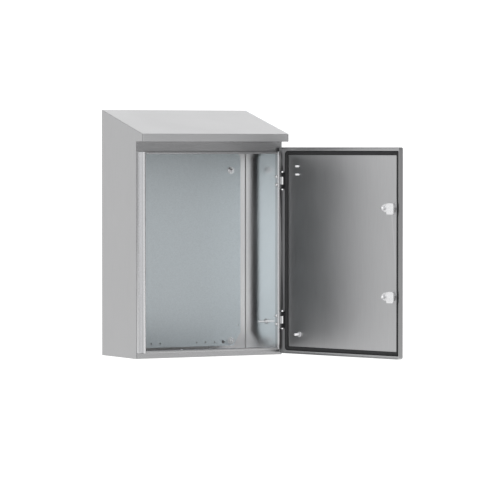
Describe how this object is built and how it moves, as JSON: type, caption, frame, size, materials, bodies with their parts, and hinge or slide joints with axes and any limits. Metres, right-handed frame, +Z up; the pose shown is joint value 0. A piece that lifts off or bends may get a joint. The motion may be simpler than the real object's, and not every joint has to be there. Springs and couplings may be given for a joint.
{
  "type": "switchboard enclosure",
  "caption": "Wall-mounted stainless-steel electrical enclosure with a sloping rain roof, a foam-sealed hinged door with quarter-turn locks, and a galvanised mounting plate.",
  "frame": {"origin": "centre of the flat back face that goes against the wall, halfway up the 600 mm back", "axes": "+Y out of the back face into the wall, -Y out through the door opening, +X towards the hinge side, +Z up"},
  "size_m": [0.5196, 0.5691, 0.6],
  "materials": {
    "stainless": "vertically brushed stainless-steel sheet",
    "galvanised": "hot-dip galvanised sheet with a faint spangle",
    "plated_steel": "bright zinc or nickel plating",
    "die_cast": "satin plated casting",
    "foam": "foamed-in-place polyurethane with a smooth skin",
    "black_plastic": "moulded"
  },
  "bodies": {
    "cabinet": {"side_panel_left": "stainless", "side_panel_right": "stainless", "back_panel": "stainless", "rain_roof": "stainless", "base_panel": "stainless", "frame_rail_left": "stainless", "frame_rail_right": "stainless", "frame_rail_top": "stainless", "frame_rail_base": "stainless", "gland_plate_seal": "foam", "gland_plate": "stainless", "gland_plate_screw_1": "plated_steel", "gland_plate_screw_2": "plated_steel", "gland_plate_screw_3": "plated_steel", "gland_plate_screw_4": "plated_steel", "gland_plate_screw_5": "plated_steel", "gland_plate_screw_6": "plated_steel", "mounting_plate": "galvanised", "plate_stud_1": "plated_steel", "plate_stud_2": "plated_steel", "plate_stud_3": "plated_steel", "plate_stud_4": "plated_steel", "plate_nut_1": "plated_steel", "plate_nut_2": "plated_steel", "plate_nut_3": "plated_steel", "plate_nut_4": "plated_steel", "wall_hole_plug_1": "black_plastic", "wall_hole_plug_2": "black_plastic", "wall_hole_plug_3": "black_plastic", "wall_hole_plug_4": "black_plastic", "body_earth_stud": "plated_steel", "body_earth_nut": "plated_steel", "hinge_upper_body_leaf": "die_cast", "hinge_upper_pin": "plated_steel", "hinge_upper_cap_nut_1": "plated_steel", "hinge_upper_cap_nut_2": "plated_steel", "hinge_lower_body_leaf": "die_cast", "hinge_lower_pin": "plated_steel", "hinge_lower_cap_nut_1": "plated_steel", "hinge_lower_cap_nut_2": "plated_steel"},
    "door": {"door_panel": "stainless", "door_gasket": "foam", "hinge_upper_door_leaf": "die_cast", "hinge_lower_door_leaf": "die_cast", "door_stud_1": "plated_steel", "door_stud_2": "plated_steel", "door_earth_stud": "plated_steel", "door_earth_nut": "plated_steel", "lock_upper_housing": "die_cast", "lock_upper_nut": "plated_steel", "lock_lower_housing": "die_cast", "lock_lower_nut": "plated_steel"},
    "lock_upper": {"lock_upper_insert": "die_cast", "lock_upper_cam": "plated_steel", "lock_upper_cam_screw": "plated_steel"},
    "lock_lower": {"lock_lower_insert": "die_cast", "lock_lower_cam": "plated_steel", "lock_lower_cam_screw": "plated_steel"}
  },
  "joints": [
    {"name": "door_swing", "type": "hinge", "parent": "cabinet", "child": "door", "pos_m": [0.1921, -0.1969, 0], "axis": [0, 0, 1], "range_deg": [-107.55, 17.45]},
    {"name": "lock_upper_turn", "type": "hinge", "parent": "door", "child": "lock_upper", "pos_m": [0.2923, -0.5366, 0.064], "axis": [-0.9535, -0.3015, 0], "range_deg": [0, 90]},
    {"name": "lock_lower_turn", "type": "hinge", "parent": "door", "child": "lock_lower", "pos_m": [0.2923, -0.5366, -0.1466], "axis": [-0.9535, -0.3015, 0], "range_deg": [0, 90]}
  ]
}
